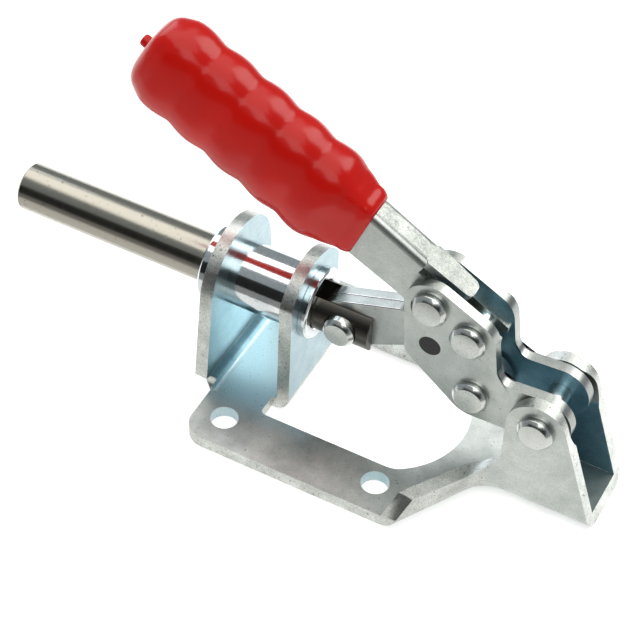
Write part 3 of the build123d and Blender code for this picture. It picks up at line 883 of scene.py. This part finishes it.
# %% Rings of the grip
RINGS, RING_SIDES = 150, 80
LAST_RING = 0.999  # the closing ring stops just short of the end, where it has a width

bm = bmesh.new()
bmesh.ops.create_cone(
    bm, cap_ends=True, segments=RING_SIDES, radius1=1, radius2=1, depth=1
)
# an edge along the tube spans its whole depth of 1, and one round it spans none
sides = [e for e in bm.edges if abs(e.verts[0].co.z - e.verts[1].co.z) > 0.5]
bmesh.ops.subdivide_edges(bm, edges=sides, cuts=RINGS, use_grid_fill=True)
for vert in bm.verts:
    share = vert.co.z + 0.5
    # rings lie closer together at the tip
    distance = GRIP_LENGTH * math.sin(share * math.pi / 2 * LAST_RING)
    vert.co = on_grip(distance, math.atan2(vert.co.y, vert.co.x))
print("rings drawn out:", len(bm.verts) // RING_SIDES)

# %% Drip on the closed end
DRIP_RADIUS, DRIP_LENGTH, DRIP_TAPER = 1.5, 1.7, 0.85
DRIP_SUNK, DRIP_ROUNDING, DRIP_SIDES = 0.6, 0.5, 24

drip_middle = GRIP_LENGTH + DRIP_LENGTH / 2 - DRIP_SUNK / 2
drip_place = (GRIP_START + ALONG * drip_middle) * MM
drip_turn = ALONG.to_track_quat("Z", "Y").to_matrix().to_4x4()
drip = bmesh.ops.create_cone(
    bm,
    cap_ends=True,
    segments=DRIP_SIDES,
    radius1=DRIP_RADIUS * MM,
    radius2=DRIP_RADIUS * DRIP_TAPER * MM,
    depth=(DRIP_LENGTH + DRIP_SUNK) * MM,
    matrix=Matrix.Translation(drip_place) @ drip_turn,
)
tip_rim = [
    e
    for e in bm.edges
    if all(v in drip["verts"] and (v.co - drip_place).dot(ALONG) > 0 for v in e.verts)
]
bevelled(bm, tip_rim, DRIP_ROUNDING, segments=3)
bmesh.ops.recalc_face_normals(bm, faces=bm.faces)
finish_mesh("grip_skin", bm, "handle", [red_vinyl], "grip")

# %% [markdown]
# ## Rubber stop
# The stop is a plain rubber plug pressed through both plates, level with them. Only its
# side shows between the plates, so a new mesh would add nothing: it keeps the model's
# shape and takes the rubber.

# %% Rubber stop
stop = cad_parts["bumper"]
stop.data.materials.clear()
stop.data.materials.append(black_rubber)
print("the stop takes", black_rubber.name)

# %% [markdown]
# ## Floor and light
# The clamp stands on white paper that glows a little, so that it stays white between the
# shadows. One lamp would give hard shadows and a single spot in each polished piece, so
# the light is soft and comes from four sides: a large one overhead, one behind on the
# right, a weak one in front and a cool one behind on the left. Polished metal shows what
# stands round it. Three cards, which only reflections see, give it its bands: a black one
# upright in front, a bright strip on the floor beside the clamp, and a dim one beyond.

# %% Floor
def staged(name, width, height, matrix, material):
    """A flat rectangle of the studio, in metres."""
    bm = bmesh.new()
    bmesh.ops.create_grid(bm, x_segments=1, y_segments=1, size=0.5)
    bmesh.ops.scale(bm, vec=(width, height, 1), verts=bm.verts)
    bmesh.ops.transform(bm, matrix=matrix, verts=bm.verts)
    mesh = bpy.data.meshes.new(name)
    bm.to_mesh(mesh)
    bm.free()
    mesh.materials.append(material)
    made = bpy.data.objects.new(name, mesh)
    scene.collection.objects.link(made)
    return made


FLOOR_SIZE = 4  # metres
FLOOR_AT, CARDS_AT = -0.3, -0.15  # mm, just under the clamp
MATT, PAPER_GLOW = 0.9, 0.42  # roughness, light it sends out

paper, tree, shader = new_material("white_paper")
shader.inputs["Base Color"].default_value = linear("f4f4f4")
shader.inputs["Roughness"].default_value = MATT
shader.inputs["Emission Color"].default_value = (1, 1, 1, 1)
shader.inputs["Emission Strength"].default_value = PAPER_GLOW
staged("floor", FLOOR_SIZE, FLOOR_SIZE, Matrix.Translation((0, 0, FLOOR_AT * MM)), paper)
print("floor", FLOOR_SIZE, "m wide")


# %% Cards
def facing(place, target):
    """Matrix of a flat thing at place whose front looks at target."""
    look = (Vector(place) - Vector(target)).to_track_quat("Z", "Y")
    return Matrix.Translation(place) @ look.to_matrix().to_4x4()


def on_floor(y):
    """Matrix of a card that lies on the floor, this far along Y in metres."""
    return Matrix.Translation((0, y, CARDS_AT * MM))


upright = facing((0.1, -0.9, 0.33), (0.1, 0, 0.33))
CARD_LENGTH, CARD_GLOW_COLOUR = 2.0, "dfe0dd"
CARDS = (
    # card, its material, colour, roughness, glow, height in metres and place
    ("dark_card", "black_card", "080808", MATT, 0, 0.66, upright),
    ("near_card", "grey_card", "101010", 0.5, 1.4, 0.056, on_floor(-0.038)),
    ("far_card", "dim_card", "101010", 0.5, 0.35, 0.836, on_floor(-0.484)),
)
for name, stuff, colour, roughness, glow, height, matrix in CARDS:
    board, tree, shader = new_material(stuff)
    shader.inputs["Base Color"].default_value = linear(colour)
    shader.inputs["Roughness"].default_value = roughness
    shader.inputs["Emission Color"].default_value = linear(CARD_GLOW_COLOUR)
    shader.inputs["Emission Strength"].default_value = glow
    card = staged(name, CARD_LENGTH, height, matrix, board)
    card.visible_camera = False
    card.visible_shadow = False
    card.visible_diffuse = False
print("cards:", len(CARDS))

# %% Lights
LIGHT_AIM = (0, 0, 0.03)  # metres, the middle of the clamp
WARM, COOL = "fffdf8", "f2f8ff"
LIGHTS = (
    # light, place in metres, size in metres, watts and colour
    ("overhead", (-0.1, 0.15, 0.9), 1.1, 7.5, WARM),
    ("right_back", (0.45, 0.63, 0.68), 0.45, 3.2, WARM),
    ("front_fill", (0.27, -0.42, 0.74), 0.5, 2.0, WARM),
    ("left_back", (-0.8, 0.5, 0.5), 0.6, 3, COOL),
)
for name, stand, size, power, colour in LIGHTS:
    lamp = bpy.data.lights.new(name, "AREA")
    lamp.shape = "SQUARE"
    lamp.size = size
    lamp.energy = power
    lamp.color = linear(colour)[:3]
    light = bpy.data.objects.new(name, lamp)
    light.matrix_world = facing(stand, LIGHT_AIM)
    scene.collection.objects.link(light)
    print(name, power, "W")

# %% Room
ROOM_COLOUR, ROOM_STRENGTH = (0.80, 0.88, 0.92, 1), 0.4  # linear, a little blue
world = bpy.data.worlds.new("studio")
scene.world = world
world.use_nodes = True
room = world.node_tree.nodes["Background"]
room.inputs["Color"].default_value = ROOM_COLOUR
room.inputs["Strength"].default_value = ROOM_STRENGTH
scene.view_settings.view_transform = "Standard"
print("room light", ROOM_STRENGTH)
